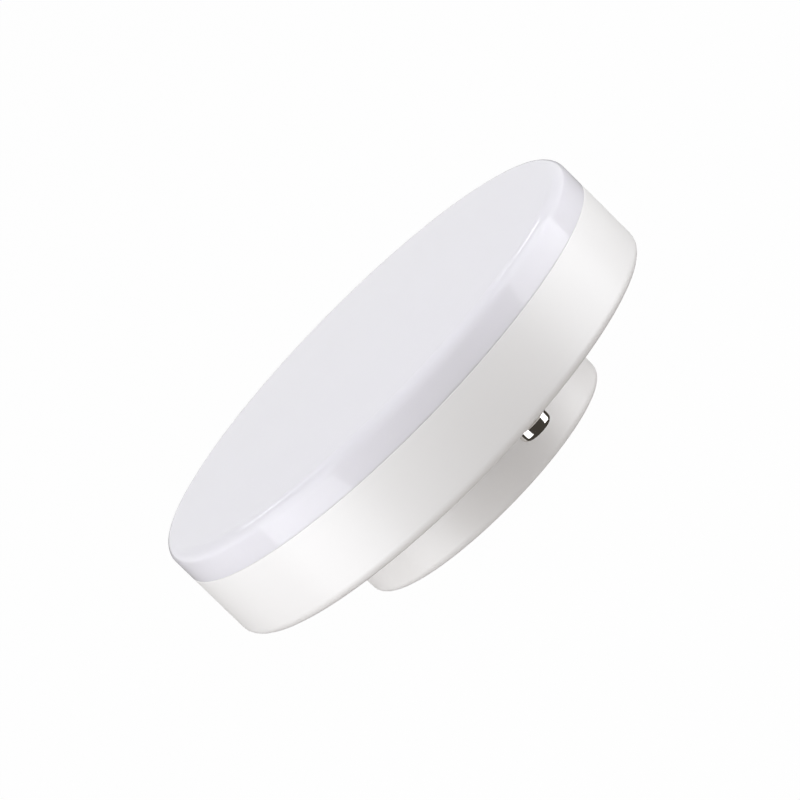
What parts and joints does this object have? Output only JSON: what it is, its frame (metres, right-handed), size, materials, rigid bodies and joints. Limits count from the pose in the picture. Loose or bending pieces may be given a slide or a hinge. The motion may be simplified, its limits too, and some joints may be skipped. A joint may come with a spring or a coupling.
{
  "type": "led disc lamp",
  "caption": "Flat round led lamp with a milky front cover, a white drum housing, a round boss and two contact studs for a twist-in holder.",
  "frame": {"origin": "middle of the flat end of the boss, at the bottom of the lamp", "axes": "+Z from the boss towards the light, Y through the two contact studs, X completes a right-handed set"},
  "size_m": [0.075, 0.075, 0.0252],
  "materials": {
    "milky_cover": "milky moulded plastic with a satin face",
    "white_housing": "satin white moulding",
    "plated_stud": "turned and nickel plated",
    "pressed_aluminium": "pressed sheet",
    "white_mask": "white board coating",
    "led_body": "yellow phosphor in a white frame",
    "zinc_screw": "zinc plated",
    "clear_sheet": "thin polyester sheet",
    "green_board": "green board coating",
    "tinned_tag": "tinned sheet metal",
    "white_wire": "wire insulation",
    "red_wire": "wire insulation",
    "black_wire": "wire insulation",
    "resistor_grey": "dipped coating",
    "blue_disc": "dipped epoxy",
    "yellow_film": "moulded box",
    "ferrite": "dark sintered ferrite",
    "black_package": "moulded epoxy",
    "can_sleeve": "shrink sleeve"
  },
  "bodies": {
    "root": {"diffuser": "milky_cover", "housing": "white_housing", "contact_pin_1": "plated_stud", "contact_pin_2": "plated_stud", "heat_sink": "pressed_aluminium", "led_board": "white_mask", "led_01": "led_body", "led_02": "led_body", "led_03": "led_body", "led_04": "led_body", "led_05": "led_body", "led_06": "led_body", "led_07": "led_body", "led_08": "led_body", "led_09": "led_body", "led_10": "led_body", "led_11": "led_body", "led_12": "led_body", "led_13": "led_body", "led_14": "led_body", "led_15": "led_body", "led_16": "led_body", "board_screw_1": "zinc_screw", "board_screw_2": "zinc_screw", "board_screw_3": "zinc_screw", "insulating_disc": "clear_sheet", "driver_board": "green_board", "pin_tag_1": "tinned_tag", "pin_tag_2": "tinned_tag", "mains_lead_1": "white_wire", "mains_lead_2": "white_wire", "led_lead_plus": "red_wire", "led_lead_minus": "black_wire", "fusible_resistor": "resistor_grey", "varistor": "blue_disc", "film_capacitor": "yellow_film", "filter_choke": "ferrite", "transformer": "ferrite", "bridge_rectifier": "black_package", "driver_chip": "black_package", "flyback_diode": "black_package", "sense_resistor": "black_package", "input_capacitor": "can_sleeve", "output_capacitor": "can_sleeve"}
  },
  "joints": []
}
